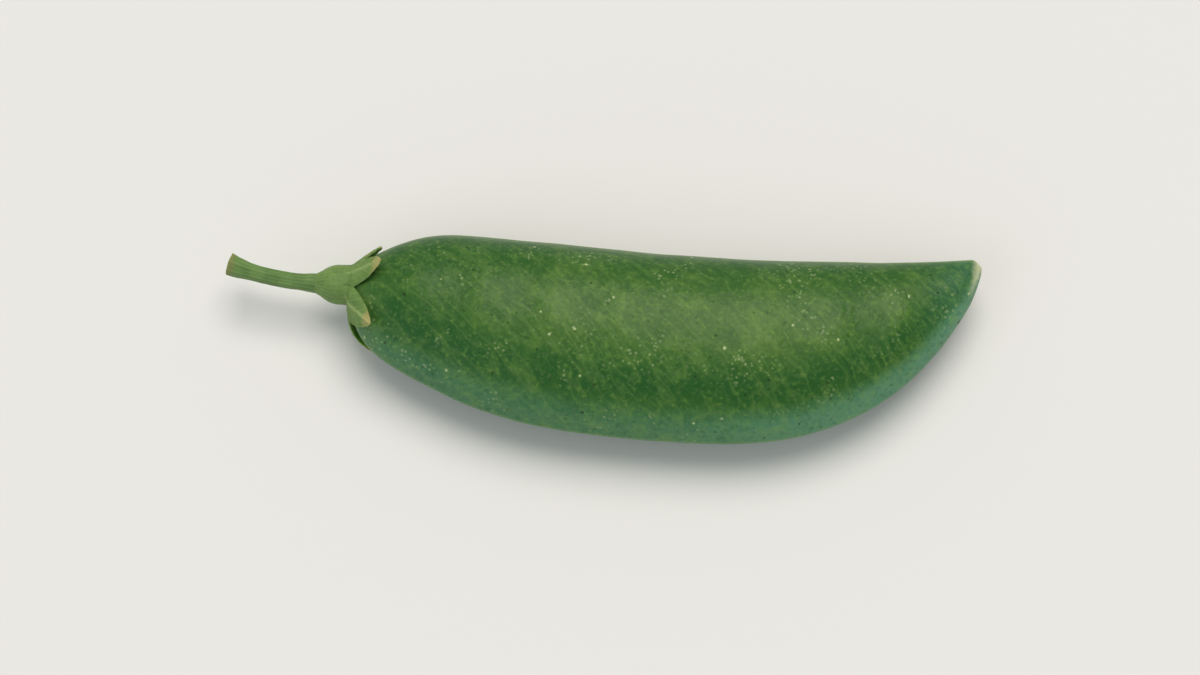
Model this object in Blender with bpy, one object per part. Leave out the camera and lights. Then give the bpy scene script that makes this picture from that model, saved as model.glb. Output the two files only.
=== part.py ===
"""Snow pea pod of the plump, edible-podded kind, lying on its side as picked.

Three grown pieces, in metres with +Z up:
    pod    the whole fruit, from its neck to its beak, with both seams
    calyx  the cup with its five sepals, which clasps the neck
    stem   the short cut stalk behind the calyx

+X runs from the stem to the beak and +Y towards the straight seam. The pod lies on z = 0.
The origin is the bottom centre of the box around all three pieces. Until the last step, x = 0 is
the end of the pod's neck, y = 0 the neck's axis and z = 0 the plane of the two seams.
"""

import math

import bmesh
import bpy
from mathutils import Vector

COLLECTION_NAME = "snow_pea_pod"
MM = 0.001

# The pod
POD_LENGTH = 74.0 * MM
POD_DEPTH = 21.5 * MM  # from the straight seam to the belly seam
POD_THICKNESS = 12.6 * MM
NECK_LENGTH = 1.8 * MM
NECK_WIDTH = 3.6 * MM
BEAK_DEPTH = 2.6 * MM
BEAK_THICKNESS = 1.8 * MM
BEAK_ROUND = 1.3 * MM  # over this length the beak's end is rounded off
BEAK_UPTURN = 1.0 * MM  # how far the straight seam turns up to the beak's tip
UPTURN_START = 0.82  # where it starts to, as a share of the length
UPTURN_POWER = 1.8  # the higher, the later it rises
SHOULDER_RISE = 4.6 * MM  # of the straight seam above the neck's top
SHOULDER_END = 0.17  # where the rise is complete, as a share of the length
SHOULDER_POWER = 2.2  # the higher, the sooner the rise flattens out
SEAM_DIP = 1.0 * MM  # how far the straight seam sags between shoulder and beak
SEAM_DIP_POWER = 1.5  # the higher, the more the sag keeps to the middle
BULGE_SHIFT = 0.10  # the pod is thickest this share of a half depth above its middle
RIDGE_HEIGHT = 0.35 * MM
RIDGE_HALF_WIDTH = 0.8 * MM
PEA_COUNT = 8
PEA_SPACING = 7.9 * MM
FIRST_PEA = 9.5 * MM
PEA_SWELL = 0.16 * MM
REST_FLAT_DEPTH = 0.34 * MM  # how much of the lower side is pressed flat where it rests

# Where the pod is full, and the powers of the curve that falls to each end, as (power, root)
DEPTH_MIDDLE = 0.50
DEPTH_TO_NECK = (3.4, 1.7)
DEPTH_TO_BEAK = (3.0, 1.22)
THICKNESS_MIDDLE = 0.44
THICKNESS_TO_NECK = (2.6, 1.7)
THICKNESS_TO_BEAK = (2.2, 1.35)

# The calyx and the stem
GAP = 0.3 * MM  # between neighbouring pieces
SEPAL_COUNT = 5
SEPAL_LENGTH = 6.6 * MM
CUP_RIM = 2.2 * MM  # how far the cup reaches along the pod between two sepals
SEPAL_POWER = 1.4  # the higher, the broader a sepal is for its length
SEPAL_THICKNESS = 0.55 * MM
EDGE_THINNING = 0.55  # the share of its thickness that the wall loses towards the rim
SEPAL_LIFT = 0.9 * MM  # how far a tip stands off the pod
BLADE_START = 0.12 * MM  # the cup's side wall starts this far along the neck
BLADE_GAP = 0.39 * MM  # more than the gap, because the pod's skin curves under the wall
CUP_LENGTH = 2.2 * MM
CUP_FACE_RADIUS = 1.2 * MM  # of the flat face that meets the stem
CUP_FLOOR_SHARE = 0.8  # the flat floor's radius, as a share of the cup's inner radius
STEM_RADIUS = 0.95 * MM
STEM_LENGTH = 10.0 * MM
STEM_BEND = 1.6 * MM
STEM_LEAN = 0.56 * MM  # how far the cut end leans up, off the plane of the seams
STEM_FLARE = 0.22  # the share that each end is thicker by
STEM_TAPER = 0.06

POD_SEGMENTS, POD_STATIONS = 56, 56
CALYX_SEGMENTS, BLADE_RINGS, BASE_RINGS = 60, 7, 3
STEM_POINTS = 9


def clear_scene():
    for scene_object in list(bpy.data.objects):
        bpy.data.objects.remove(scene_object, do_unlink=True)


def make_collection(name):
    collection = bpy.data.collections.new(name)
    bpy.context.scene.collection.children.link(collection)
    return collection


def make_material(name, colour, roughness):
    material = bpy.data.materials.new(name)
    material.use_nodes = True
    shader = material.node_tree.nodes["Principled BSDF"]
    shader.inputs["Base Color"].default_value = (*colour, 1.0)
    shader.inputs["Roughness"].default_value = roughness
    shader.inputs["Metallic"].default_value = 0.0
    return material


def add_object(name, bm, material, collection):
    """Turn a finished bmesh into a smooth-shaded object of the collection."""
    if bm.calc_volume(signed=True) < 0.0:
        bmesh.ops.reverse_faces(bm, faces=bm.faces)
    mesh = bpy.data.meshes.new(name)
    bm.to_mesh(mesh)
    bm.free()
    mesh.shade_smooth()
    mesh.set_sharp_from_angle(angle=math.radians(40.0))
    mesh.materials.append(material)
    new_object = bpy.data.objects.new(name, mesh)
    collection.objects.link(new_object)
    return new_object


def sphere_along_x(segments, rings):
    """A unit sphere whose poles lie on the X axis."""
    bm = bmesh.new()
    bmesh.ops.create_uvsphere(bm, u_segments=segments, v_segments=rings, radius=1.0)
    for vert in bm.verts:
        vert.co = Vector((vert.co.z, vert.co.y, -vert.co.x))
    return bm


def fullness(share, middle, to_neck, to_beak):
    """1 at the middle of the pod, falling as a superellipse to 0 at each end."""
    if share < middle:
        reach, (power, root) = (middle - share) / middle, to_neck
    else:
        reach, (power, root) = (share - middle) / (1.0 - middle), to_beak
    return max(0.0, 1.0 - min(1.0, reach) ** power) ** (1.0 / root)


def body_share(x):
    """The place of x along the pod beyond its neck, from 0 to 1."""
    return min(1.0, max(0.0, (x - NECK_LENGTH) / (POD_LENGTH - NECK_LENGTH)))


def end_size(share, neck_size, beak_size):
    """The least size at each end, which goes evenly from the neck's to the beak's."""
    return neck_size + (beak_size - neck_size) * share


def pod_depth(x):
    share = body_share(x)
    least = end_size(share, NECK_WIDTH, BEAK_DEPTH)
    return least + (POD_DEPTH - least) * fullness(share, DEPTH_MIDDLE, DEPTH_TO_NECK, DEPTH_TO_BEAK)


def pod_half_thickness(x):
    share = body_share(x)
    least = end_size(share, NECK_WIDTH, BEAK_THICKNESS)
    full = fullness(share, THICKNESS_MIDDLE, THICKNESS_TO_NECK, THICKNESS_TO_BEAK)
    return 0.5 * (least + (POD_THICKNESS - least) * full)


def seam_height(x):
    """Height in Y of the straight seam: up over the shoulder, a slight sag, then up to the beak."""
    share = body_share(x)
    rise = 1.0 - (1.0 - min(1.0, share / SHOULDER_END)) ** SHOULDER_POWER
    beyond = max(0.0, share - SHOULDER_END) / (1.0 - SHOULDER_END)
    sag = math.sin(math.pi * beyond) ** SEAM_DIP_POWER
    upturn = (max(0.0, share - UPTURN_START) / (1.0 - UPTURN_START)) ** UPTURN_POWER
    return 0.5 * NECK_WIDTH + SHOULDER_RISE * rise - SEAM_DIP * sag + BEAK_UPTURN * upturn


def beak_roundness(x):
    """1 along the pod, falling as a quarter circle to 0 over the beak's rounded end."""
    into_tip = max(0.0, x - (POD_LENGTH - BEAK_ROUND)) / BEAK_ROUND
    return math.sqrt(max(0.0, 1.0 - into_tip * into_tip))


def pea_swell(x):
    """How far the peas push the side out at x."""
    nearest = round((x - FIRST_PEA) / PEA_SPACING)
    nearest = min(PEA_COUNT - 1, max(0, nearest))
    offset = (x - FIRST_PEA - nearest * PEA_SPACING) / PEA_SPACING
    return PEA_SWELL * math.cos(math.pi * offset) if abs(offset) < 0.5 else 0.0


def pod_point(x, across, outward):
    """A point on the pod's skin at x; across is +1 at the straight seam and -1 at the belly.

    outward is the matching share of the half thickness, so the pair lies on a unit circle.
    """
    depth = pod_depth(x)
    roundness = beak_roundness(x)
    middle = seam_height(x) - 0.5 * depth
    bulge = BULGE_SHIFT * (1.0 - across * across)
    y = middle + 0.5 * depth * roundness * (across + bulge)
    z = pod_half_thickness(x) * roundness * outward
    grown = min(1.0, max(0.0, (depth - NECK_WIDTH) / POD_DEPTH))
    ridge = RIDGE_HEIGHT * grown * roundness * math.exp(-((z / RIDGE_HALF_WIDTH) ** 2))
    y += math.copysign(ridge, across)
    z += pea_swell(x) * grown * outward * abs(outward)
    return Vector((x, y, z))


def pod_normal(x, angle):
    """The outward direction of the skin at x and angle, from two short steps on it."""
    step = 0.05 * MM
    turn = 0.02
    ahead = pod_point(x + step, math.sin(angle), math.cos(angle))
    behind = pod_point(max(0.0, x - step), math.sin(angle), math.cos(angle))
    left = pod_point(x, math.sin(angle + turn), math.cos(angle + turn))
    right = pod_point(x, math.sin(angle - turn), math.cos(angle - turn))
    return (ahead - behind).cross(left - right).normalized()


def build_pod(collection):
    """The fruit: a sphere drawn out along its seams and pressed flat where it rests."""
    bm = sphere_along_x(POD_SEGMENTS, POD_STATIONS)
    for vert in bm.verts:
        x = POD_LENGTH * 0.5 * (1.0 + vert.co.x)
        radius = math.hypot(vert.co.y, vert.co.z)
        if radius > 1e-5:
            vert.co = pod_point(x, vert.co.y / radius, vert.co.z / radius)
        else:
            vert.co = Vector((x, seam_height(x) - 0.5 * pod_depth(x), 0.0))
    rest_height = -(0.5 * POD_THICKNESS - REST_FLAT_DEPTH)
    bmesh.ops.bisect_plane(
        bm,
        geom=bm.verts[:] + bm.edges[:] + bm.faces[:],
        plane_co=(0.0, 0.0, rest_height),
        plane_no=(0.0, 0.0, -1.0),
        clear_outer=True,
    )
    rim = [edge for edge in bm.edges if edge.is_boundary]
    bmesh.ops.holes_fill(bm, edges=rim, sides=0)
    material = make_material("pod_skin", (0.105, 0.205, 0.045), 0.42)
    return add_object("pod", bm, material, collection)


def distance_along_skin(angle, distance):
    """The x that lies this distance along the skin from the neck's end."""
    x = 0.0
    step = 0.05 * MM
    walked = 0.0
    here = pod_point(x, math.sin(angle), math.cos(angle))
    while walked < distance:
        x += step
        there = pod_point(x, math.sin(angle), math.cos(angle))
        walked += (there - here).length
        here = there
    return x


def sepal_reach(angle):
    """How far the calyx reaches along the skin: a point at each sepal, a curve between two."""
    wave = 1.0 - abs(math.sin(0.5 * SEPAL_COUNT * (angle - 0.5 * math.pi))) ** SEPAL_POWER
    return CUP_RIM + (SEPAL_LENGTH - CUP_RIM) * wave


def blade_point(angle, share, outside):
    """A point on the inner or outer face of the cup and sepals, share of the way to the rim."""
    distance = sepal_reach(angle) * share
    x = max(BLADE_START, distance_along_skin(angle, distance))
    skin = pod_point(x, math.sin(angle), math.cos(angle))
    lift = SEPAL_LIFT * (distance / SEPAL_LENGTH) ** 2
    stand_off = BLADE_GAP + lift
    if outside:
        stand_off += SEPAL_THICKNESS * (1.0 - EDGE_THINNING * share)
    return skin + pod_normal(x, angle) * stand_off


def base_point(angle, share, rim):
    """A point share of the way from the face that meets the stem to the blade's start, rim."""
    across, outward = math.sin(angle), math.cos(angle)
    ease = share * share * (3.0 - 2.0 * share)
    x = -CUP_LENGTH + (rim.x + CUP_LENGTH) * share
    y = CUP_FACE_RADIUS * across * (1.0 - ease) + rim.y * ease
    z = CUP_FACE_RADIUS * outward * (1.0 - ease) + rim.z * ease
    return Vector((x, y, z))


def calyx_line(angle):
    """One line of points from the face that meets the stem, out to the rim and back inside."""
    outer_start = blade_point(angle, 0.0, True)
    inner_start = blade_point(angle, 0.0, False)
    line = [base_point(angle, k / (BASE_RINGS + 1), outer_start) for k in range(BASE_RINGS + 1)]
    line += [blade_point(angle, k / BLADE_RINGS, True) for k in range(BLADE_RINGS + 1)]
    line += [blade_point(angle, k / BLADE_RINGS, False) for k in range(BLADE_RINGS, -1, -1)]
    line.append(Vector((-GAP, CUP_FLOOR_SHARE * inner_start.y, CUP_FLOOR_SHARE * inner_start.z)))
    return line


def build_calyx(collection):
    """The cup and its sepals: a sphere folded in on itself, so that it is one closed wall."""
    last_ring = len(calyx_line(0.0)) + 1
    bm = sphere_along_x(CALYX_SEGMENTS, last_ring)
    lines = {}
    for vert in bm.verts:
        from_stem = math.pi - math.acos(max(-1.0, min(1.0, vert.co.x)))
        ring = round(from_stem / math.pi * last_ring)
        if ring in (0, last_ring):
            vert.co = Vector((-GAP if ring else -CUP_LENGTH, 0.0, 0.0))
            continue
        angle = math.atan2(vert.co.y, vert.co.z)
        segment = round(angle * CALYX_SEGMENTS / (2.0 * math.pi)) % CALYX_SEGMENTS
        if segment not in lines:
            lines[segment] = calyx_line(angle)
        vert.co = lines[segment][ring - 1]
    material = make_material("calyx_green", (0.17, 0.27, 0.06), 0.6)
    return add_object("calyx", bm, material, collection)


def stem_centre(share):
    """The stalk's centre line: straight out of the calyx, then a slight bend to the seam side."""
    x = -CUP_LENGTH - GAP - STEM_LENGTH * share
    return Vector((x, STEM_BEND * share * share, STEM_LEAN * share * share))


def build_stem(collection):
    """The stalk: a tube that swells a little at the calyx and at its cut end."""
    curve = bpy.data.curves.new("stem_line", "CURVE")
    curve.dimensions = "3D"
    curve.bevel_depth = STEM_RADIUS
    curve.bevel_resolution = 4
    curve.use_fill_caps = True
    line = curve.splines.new("POLY")
    line.points.add(STEM_POINTS - 1)
    for index, point in enumerate(line.points):
        share = index / (STEM_POINTS - 1)
        point.co = (*stem_centre(share), 1.0)
        point.radius = 1.0 + STEM_FLARE * (2.0 * share - 1.0) ** 4 - STEM_TAPER * share
    guide = bpy.data.objects.new("stem_line", curve)
    collection.objects.link(guide)
    evaluated = guide.evaluated_get(bpy.context.evaluated_depsgraph_get())
    tube = bpy.data.meshes.new_from_object(evaluated)
    bm = bmesh.new()
    bm.from_mesh(tube)
    bmesh.ops.remove_doubles(bm, verts=bm.verts, dist=1e-5)
    bpy.data.objects.remove(guide, do_unlink=True)
    bpy.data.curves.remove(curve)
    bpy.data.meshes.remove(tube)
    material = make_material("stem_green", (0.15, 0.24, 0.06), 0.55)
    return add_object("stem", bm, material, collection)


def set_down(pieces):
    """Move the pieces together, so that the origin is the bottom centre of the box around them."""
    corners = [vert.co for piece in pieces for vert in piece.data.vertices]
    low = Vector([min(corner[axis] for corner in corners) for axis in range(3)])
    high = Vector([max(corner[axis] for corner in corners) for axis in range(3)])
    middle = (low + high) * 0.5
    shift = Vector((-middle.x, -middle.y, -low.z))
    for piece in pieces:
        for vert in piece.data.vertices:
            vert.co += shift


def main():
    clear_scene()
    collection = make_collection(COLLECTION_NAME)
    pieces = [build_pod(collection), build_calyx(collection), build_stem(collection)]
    set_down(pieces)


main()
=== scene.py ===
"""Looks of a snow pea pod lying on its side: the waxy pod, its calyx and its short stalk."""

import logging
import math
from dataclasses import dataclass
from enum import Enum

import bpy
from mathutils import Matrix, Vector


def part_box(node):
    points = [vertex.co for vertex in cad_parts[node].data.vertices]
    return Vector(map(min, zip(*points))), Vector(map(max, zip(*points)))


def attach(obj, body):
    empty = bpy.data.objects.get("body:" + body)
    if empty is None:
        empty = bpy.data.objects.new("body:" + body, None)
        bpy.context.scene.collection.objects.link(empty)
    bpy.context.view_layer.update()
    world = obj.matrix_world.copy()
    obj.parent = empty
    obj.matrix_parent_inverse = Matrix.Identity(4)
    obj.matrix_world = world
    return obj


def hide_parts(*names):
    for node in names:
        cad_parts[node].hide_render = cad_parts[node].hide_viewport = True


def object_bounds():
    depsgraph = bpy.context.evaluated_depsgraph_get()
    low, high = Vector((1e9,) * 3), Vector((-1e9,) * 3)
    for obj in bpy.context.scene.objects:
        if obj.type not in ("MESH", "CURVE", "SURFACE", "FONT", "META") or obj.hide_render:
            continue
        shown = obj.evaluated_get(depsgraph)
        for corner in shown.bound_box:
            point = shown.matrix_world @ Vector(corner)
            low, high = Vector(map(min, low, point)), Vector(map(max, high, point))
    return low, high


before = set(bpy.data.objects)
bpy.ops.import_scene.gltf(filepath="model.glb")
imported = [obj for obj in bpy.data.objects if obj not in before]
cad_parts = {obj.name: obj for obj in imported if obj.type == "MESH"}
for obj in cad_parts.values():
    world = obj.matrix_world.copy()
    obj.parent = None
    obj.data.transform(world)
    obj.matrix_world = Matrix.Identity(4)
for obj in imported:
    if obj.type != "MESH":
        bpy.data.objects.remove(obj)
cad_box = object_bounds()

MM = 0.001
FULL_TURN = 2.0 * math.pi
# A number nearer than this to a sphere's or a circle's end value is taken to lie on it.
AT_POLE = 1e-7
LOG = logging.getLogger("snow_pea_pod")


class Node(Enum):
    """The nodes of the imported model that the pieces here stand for."""

    POD = "pod"
    CALYX = "calyx"
    STEM = "stem"


class Slot(Enum):
    """The record's material slots."""

    SKIN = "pod_skin"
    CALYX = "calyx_green"
    STEM = "stem_green"


def linear(code: str) -> tuple[float, float, float, float]:
    """Turn an sRGB hex colour into a linear one.

    Args:
        code: the colour as "#rrggbb".

    Returns:
        Red, green, blue and an alpha of 1, each from 0 to 1.
    """
    shares = [int(code[at:at + 2], 16) / 255.0 for at in (1, 3, 5)]
    return (*[s / 12.92 if s <= 0.04045 else ((s + 0.055) / 1.055) ** 2.4 for s in shares], 1.0)


def add(tree: bpy.types.NodeTree, kind: str, settings: dict | None = None,
        inputs: dict | None = None) -> bpy.types.Node:
    """Add one node with its settings and links.

    Args:
        tree: the tree that gets the node.
        kind: the node's type name.
        settings: values of the node's own properties, by name.
        inputs: a value, a Field or an output socket for each input, by name or number.

    Returns:
        The new node.
    """
    node = tree.nodes.new(kind)
    for name, value in (settings or {}).items():
        setattr(node, name, value)
    for name, value in (inputs or {}).items():
        source = value.socket if isinstance(value, Field) else value
        if isinstance(source, bpy.types.NodeSocket):
            tree.links.new(source, node.inputs[name])
        else:
            node.inputs[name].default_value = source
    return node


@dataclass(frozen=True)
class Field:
    """A number that varies over a surface: an output socket, with arithmetic as Math nodes."""

    tree: bpy.types.NodeTree
    socket: bpy.types.NodeSocket

    def math(self, operation: str, *others: "Field | float") -> "Field":
        """Combine this number with others.

        Args:
            operation: the Math node's operation.
            others: the operation's further inputs, in order.

        Returns:
            The result.
        """
        inputs = dict(enumerate((self, *others)))
        node = add(self.tree, "ShaderNodeMath", {"operation": operation}, inputs)
        return Field(self.tree, node.outputs[0])

    def step(self, low: float, high: float) -> "Field":
        """Go smoothly from 0 to 1 as this number goes from low to high.

        Args:
            low: where the result is still 0.
            high: where the result has become 1; it may be below low.

        Returns:
            The eased number.
        """
        inputs = {"Value": self, "From Min": low, "From Max": high}
        node = add(self.tree, "ShaderNodeMapRange", {"interpolation_type": "SMOOTHSTEP"}, inputs)
        return Field(self.tree, node.outputs[0])

    def bell(self, width: float) -> "Field":
        """1 where this number is 0, falling on both sides as a bell curve of this width."""
        return ((self / width).math("POWER", 2.0) * -1.0).math("EXPONENT")

    def __add__(self, other: "Field | float") -> "Field":
        """This number plus another."""
        return self.math("ADD", other)

    def __sub__(self, other: "Field | float") -> "Field":
        """This number less another."""
        return self.math("SUBTRACT", other)

    def __mul__(self, other: "Field | float") -> "Field":
        """This number times another."""
        return self.math("MULTIPLY", other)

    def __truediv__(self, other: "Field | float") -> "Field":
        """This number divided by another."""
        return self.math("DIVIDE", other)

    def __pow__(self, other: "Field | float") -> "Field":
        """This number to a power."""
        return self.math("POWER", other)

    def __rsub__(self, other: float) -> "Field":
        """A plain number less this one."""
        return (self * -1.0) + other

    __radd__ = __add__
    __rmul__ = __mul__


class Rule:
    """A Geometry Nodes tree in the making, with its named inputs."""

    def __init__(self, name: str) -> None:
        """Start an empty tree.

        Args:
            name: the tree's name.
        """
        self.tree = bpy.data.node_groups.new(name, "GeometryNodeTree")
        self.values: dict[str, float | int | bpy.types.Object] = {}
        self.entry = add(self.tree, "NodeGroupInput")
        self.tree.interface.new_socket("Geometry", in_out="OUTPUT", socket_type="NodeSocketGeometry")

    def given(self, name: str, value: float | int | bpy.types.Object,
              kind: str = "NodeSocketFloat") -> Field:
        """Add a named input and its value.

        Args:
            name: the input's name.
            value: what the modifier sets it to.
            kind: the socket's type name.

        Returns:
            The input, for use in the tree.
        """
        socket = self.tree.interface.new_socket(name, in_out="INPUT", socket_type=kind)
        self.values[socket.identifier] = value
        return Field(self.tree, self.entry.outputs[name])

    def start(self, kind: str, inputs: dict) -> tuple[bpy.types.Node, list[Field]]:
        """Add the primitive that the rule shapes.

        Args:
            kind: the primitive's node type.
            inputs: its sizes and counts.

        Returns:
            The primitive's node, and the x, y and z of its points.
        """
        return add(self.tree, kind, None, inputs), self.here()

    def parts(self, vector: bpy.types.NodeSocket) -> list[Field]:
        """The x, y and z of a vector."""
        split = add(self.tree, "ShaderNodeSeparateXYZ", None, {0: vector})
        return [Field(self.tree, output) for output in split.outputs]

    def here(self) -> list[Field]:
        """The x, y and z of the points, wherever the step that uses them finds them."""
        return self.parts(add(self.tree, "GeometryNodeInputPosition").outputs[0])

    def store(self, geometry: bpy.types.NodeSocket, **numbers: Field) -> bpy.types.NodeSocket:
        """Keep numbers on the points, so that later steps and the material can read them.

        Args:
            geometry: the geometry so far.
            numbers: each attribute's name and value.

        Returns:
            The geometry that holds them.
        """
        for name, number in numbers.items():
            settings = {"data_type": "FLOAT", "domain": "POINT"}
            inputs = {"Geometry": geometry, "Name": name, "Value": number}
            geometry = add(self.tree, "GeometryNodeStoreNamedAttribute", settings, inputs).outputs[0]
        return geometry

    def read(self, name: str) -> Field:
        """A number that store() kept."""
        node = add(self.tree, "GeometryNodeInputNamedAttribute", {"data_type": "FLOAT"}, {"Name": name})
        return Field(self.tree, node.outputs[0])

    def noise(self, grain: float, seed: float, detail: float = 2.0) -> Field:
        """Smooth random relief at the points' own places.

        Args:
            grain: the relief's spacing in metres.
            seed: which of the endless reliefs it is.
            detail: how many finer octaves it holds.

        Returns:
            A number from about -1 to 1.
        """
        inputs = {"W": seed, "Scale": 1.0 / grain, "Detail": detail}
        node = add(self.tree, "ShaderNodeTexNoise", {"noise_dimensions": "4D"}, inputs)
        return (Field(self.tree, node.outputs[0]) - 0.5) * 2.0

    def move(self, geometry: bpy.types.NodeSocket, x: Field, y: Field, z: Field) -> bpy.types.NodeSocket:
        """Put each point at x, y, z.

        Args:
            geometry: the geometry so far.
            x: the new place along X.
            y: the new place along Y.
            z: the new place along Z.

        Returns:
            The moved geometry.
        """
        place = add(self.tree, "ShaderNodeCombineXYZ", None, {0: x, 1: y, 2: z})
        inputs = {"Geometry": geometry, "Position": place.outputs[0]}
        return add(self.tree, "GeometryNodeSetPosition", None, inputs).outputs[0]

    def raise_skin(self, geometry: bpy.types.NodeSocket, height: Field) -> bpy.types.NodeSocket:
        """Move each point outwards, along the surface's own normal.

        Args:
            geometry: the geometry so far.
            height: how far each point moves.

        Returns:
            The moved geometry.
        """
        normal = add(self.tree, "GeometryNodeInputNormal")
        inputs = {0: normal.outputs[0], "Scale": height}
        offset = add(self.tree, "ShaderNodeVectorMath", {"operation": "SCALE"}, inputs)
        inputs = {"Geometry": geometry, "Offset": offset.outputs[0]}
        return add(self.tree, "GeometryNodeSetPosition", None, inputs).outputs[0]

    def mesh(self, name: str, geometry: bpy.types.NodeSocket,
             material: bpy.types.Material) -> bpy.types.Object:
        """Close the tree, run it once and keep its result as a plain mesh.

        Args:
            name: the new object's name.
            geometry: the finished geometry.
            material: the piece's finish.

        Returns:
            The object, at the origin, with no modifier left on it.
        """
        smooth = add(self.tree, "GeometryNodeSetShadeSmooth", None, {"Geometry": geometry})
        real = add(self.tree, "GeometryNodeRealizeInstances", None, {"Geometry": smooth.outputs[0]})
        inputs = {"Geometry": real.outputs[0], "Material": material}
        dressed = add(self.tree, "GeometryNodeSetMaterial", None, inputs)
        add(self.tree, "NodeGroupOutput", None, {0: dressed.outputs[0]})
        piece = bpy.data.objects.new(name, bpy.data.meshes.new(name))
        bpy.context.scene.collection.objects.link(piece)
        modifier = piece.modifiers.new("rule", "NODES")
        modifier.node_group = self.tree
        for identifier, value in self.values.items():
            modifier[identifier] = value
        evaluated = piece.evaluated_get(bpy.context.evaluated_depsgraph_get())
        made = bpy.data.meshes.new_from_object(evaluated)
        piece.modifiers.remove(modifier)
        piece.data = made
        made.name = name
        return piece


def material_tree(name: str) -> tuple[bpy.types.Material, bpy.types.NodeTree]:
    """Make a material whose tree is empty but for its Principled shader and output.

    Args:
        name: the material's name.

    Returns:
        The material and its tree.
    """
    material = bpy.data.materials.new(name)
    material.use_nodes = True
    return material, material.node_tree


@dataclass(frozen=True)
class Tissue:
    """Living plant tissue under a skin: what every finish here is made from."""

    name: str
    roughness: float
    ior: float = 1.43
    specular: float = 0.5
    subsurface: float = 0.2
    subsurface_depth: float = 1.2 * MM
    glow: tuple[float, float, float] = (0.6, 1.0, 0.25)
    coat: float = 0.0
    coat_roughness: float = 0.3
    sheen: float = 0.0
    sheen_roughness: float = 0.45

    def read(self, tree: bpy.types.NodeTree, name: str) -> Field:
        """A number that the piece's rule kept on its points."""
        node = add(tree, "ShaderNodeAttribute", {"attribute_name": name})
        return Field(tree, node.outputs["Fac"])

    def turn(self, tree: bpy.types.NodeTree) -> Field:
        """The angle round the piece, from its kept sine and cosine, which don't jump where it closes."""
        return self.read(tree, "turn_sine").math("ARCTAN2", self.read(tree, "turn_cosine"))

    def noise(self, tree: bpy.types.NodeTree, grain: float, seed: float, detail: float = 2.0,
              place: tuple[Field, Field, Field] | None = None) -> Field:
        """Random patches over the piece.

        Args:
            tree: the material's tree.
            grain: the patches' spacing in metres.
            seed: which of the endless patterns it is.
            detail: how many finer octaves it holds.
            place: where to read the pattern; the piece's own coordinates if left out.

        Returns:
            A number from 0 to 1, near 0.5 on the whole.
        """
        if place is None:
            source = add(tree, "ShaderNodeTexCoord").outputs["Object"]
        else:
            source = add(tree, "ShaderNodeCombineXYZ", None, dict(enumerate(place))).outputs[0]
        inputs = {"Vector": source, "W": seed, "Scale": 1.0 / grain, "Detail": detail}
        node = add(tree, "ShaderNodeTexNoise", {"noise_dimensions": "4D"}, inputs)
        return Field(tree, node.outputs[0])

    def dots(self, tree: bpy.types.NodeTree, spacing: float, size: float, seed: float,
             ragged: Field) -> Field:
        """Uneven specks scattered over the piece.

        Args:
            tree: the material's tree.
            spacing: the size in metres of the cells, each of which may hold a speck.
            size: the largest speck's radius, as a share of the spacing.
            seed: which of the endless patterns it is.
            ragged: a fine noise that makes the specks' outlines and sizes differ.

        Returns:
            1 in a speck and 0 between them.
        """
        place = add(tree, "ShaderNodeTexCoord").outputs["Object"]
        shifted = add(tree, "ShaderNodeMapping", None, {0: place, "Location": (seed * spacing,) * 3})
        inputs = {"Vector": shifted.outputs[0], "Scale": 1.0 / spacing}
        node = add(tree, "ShaderNodeTexVoronoi", {"feature": "F1"}, inputs)
        distance = Field(tree, node.outputs["Distance"]) * (ragged * 2.4 - 0.2)
        return distance.step(size, 0.35 * size)

    def dress(self, layers: list[tuple[str, Field | None]], tree: bpy.types.NodeTree,
              shine: Field, relief: list[tuple[Field, float]]) -> None:
        """Link colour layers, roughness and relief to the shader.

        Args:
            layers: hex colours from the bottom up, each with how much it covers; the first is whole.
            tree: the material's tree.
            shine: the roughness over the surface.
            relief: heights from 0 to 1, each with its depth in metres.
        """
        shader = tree.nodes["Principled BSDF"]
        colour: bpy.types.NodeSocket | tuple = linear(layers[0][0])
        for code, amount in layers[1:]:
            settings = {"data_type": "RGBA", "clamp_factor": True}
            inputs = {0: amount, 6: colour, 7: linear(code)}
            colour = add(tree, "ShaderNodeMix", settings, inputs).outputs[2]
        tree.links.new(colour, shader.inputs["Base Color"])
        tree.links.new(shine.socket, shader.inputs["Roughness"])
        normal = None
        for height, depth in relief:
            inputs = {"Height": height, "Distance": depth, "Strength": 1.0}
            if normal is not None:
                inputs["Normal"] = normal
            normal = add(tree, "ShaderNodeBump", None, inputs).outputs[0]
        tree.links.new(normal, shader.inputs["Normal"])
        plain = {"IOR": self.ior, "Specular IOR Level": self.specular,
                 "Coat Weight": self.coat, "Coat Roughness": self.coat_roughness,
                 "Subsurface Weight": self.subsurface, "Subsurface Scale": self.subsurface_depth,
                 "Subsurface Radius": self.glow, "Sheen Weight": self.sheen,
                 "Sheen Roughness": self.sheen_roughness}
        for name, value in plain.items():
            shader.inputs[name].default_value = value


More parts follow.
